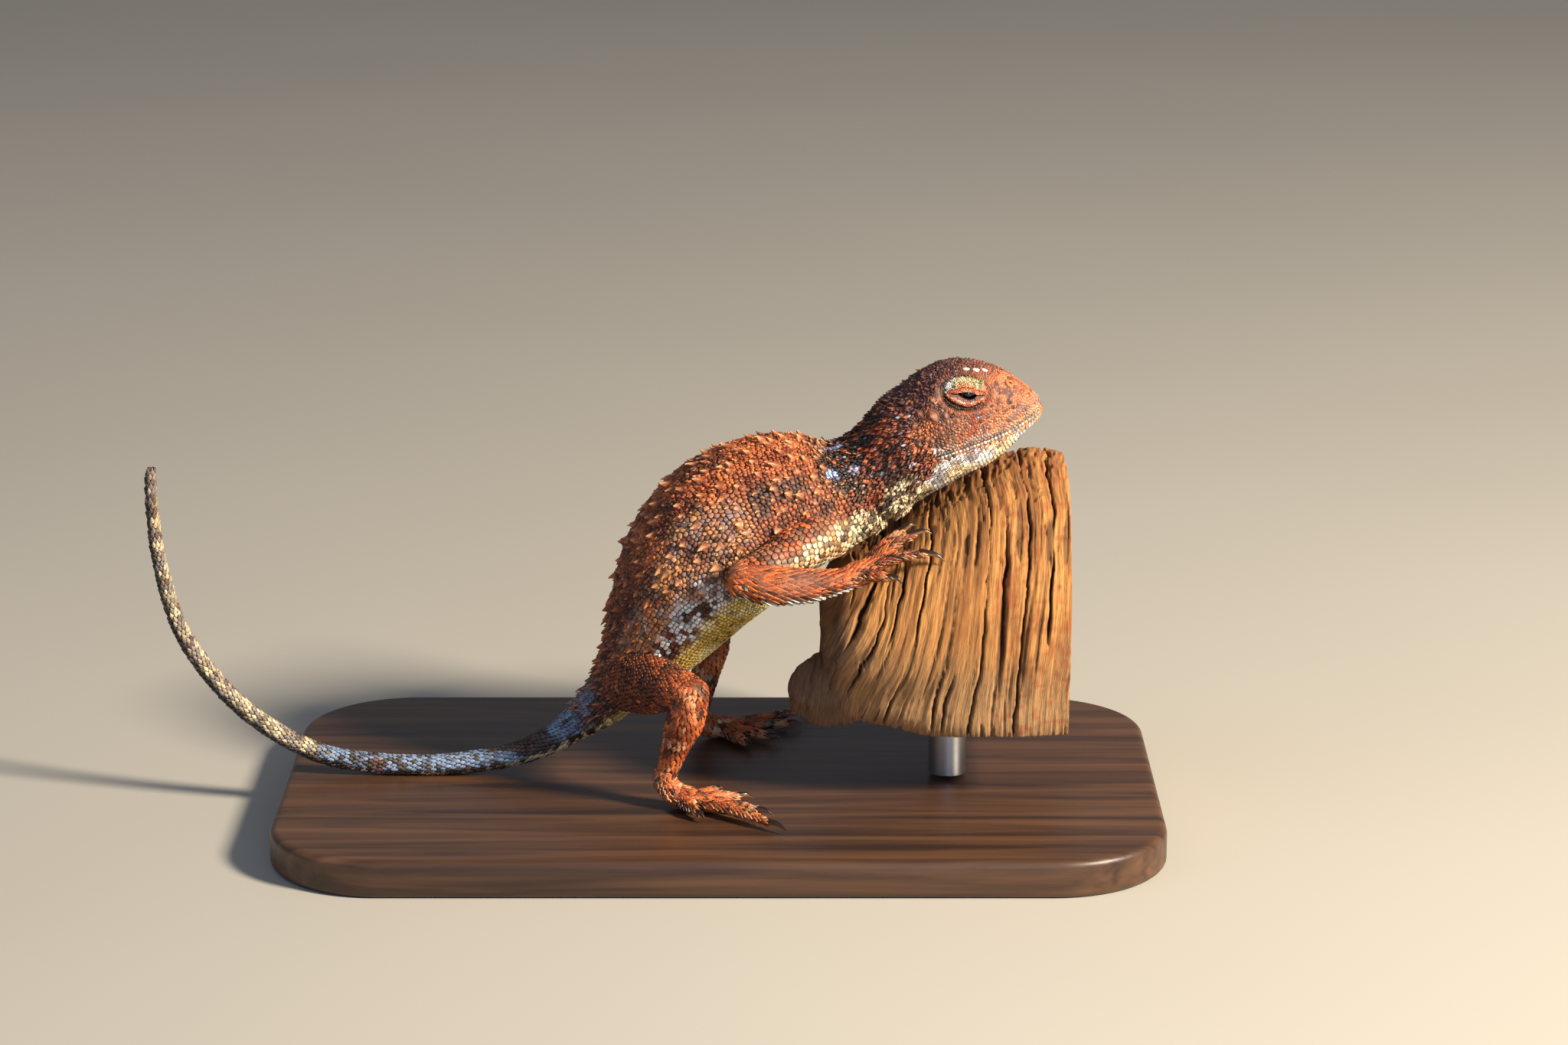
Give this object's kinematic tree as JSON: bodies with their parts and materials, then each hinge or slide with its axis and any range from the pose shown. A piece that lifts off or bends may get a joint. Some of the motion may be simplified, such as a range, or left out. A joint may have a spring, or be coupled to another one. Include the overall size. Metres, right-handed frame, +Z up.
{
  "type": "goldfields pebble-mimic dragon model",
  "caption": "Life-size still model of a spiny desert dragon lizard rearing with its forefeet and throat on a cut piece of weathered wood, on a flat display base with a short rod.",
  "frame": {"origin": "centre of the underside of the flat display base", "axes": "+X the way the animal faces, +Y to its left side, +Z up from the surface it stands on"},
  "size_m": [0.1059, 0.056, 0.0492],
  "materials": {
    "skin": "dry, scaly, matt",
    "tail_skin": "dry, scaly, matt",
    "eye": "wet, glossy, dark",
    "wood": "weathered, dry, cracked",
    "base_wood": "dark stain, satin",
    "rod_steel": "brushed"
  },
  "bodies": {
    "root": {"head": "skin", "neck": "skin", "torso": "skin", "tail_base": "skin", "tail_middle": "tail_skin", "tail_tip": "tail_skin", "left_eye": "eye", "right_eye": "eye", "left_upper_arm": "skin", "left_forearm": "skin", "left_hand": "skin", "right_upper_arm": "skin", "right_forearm": "skin", "right_hand": "skin", "left_thigh": "skin", "left_shank": "skin", "left_foot": "skin", "right_thigh": "skin", "right_shank": "skin", "right_foot": "skin", "stand_base": "base_wood", "stand_rod": "rod_steel", "stand_perch": "wood"}
  },
  "joints": []
}
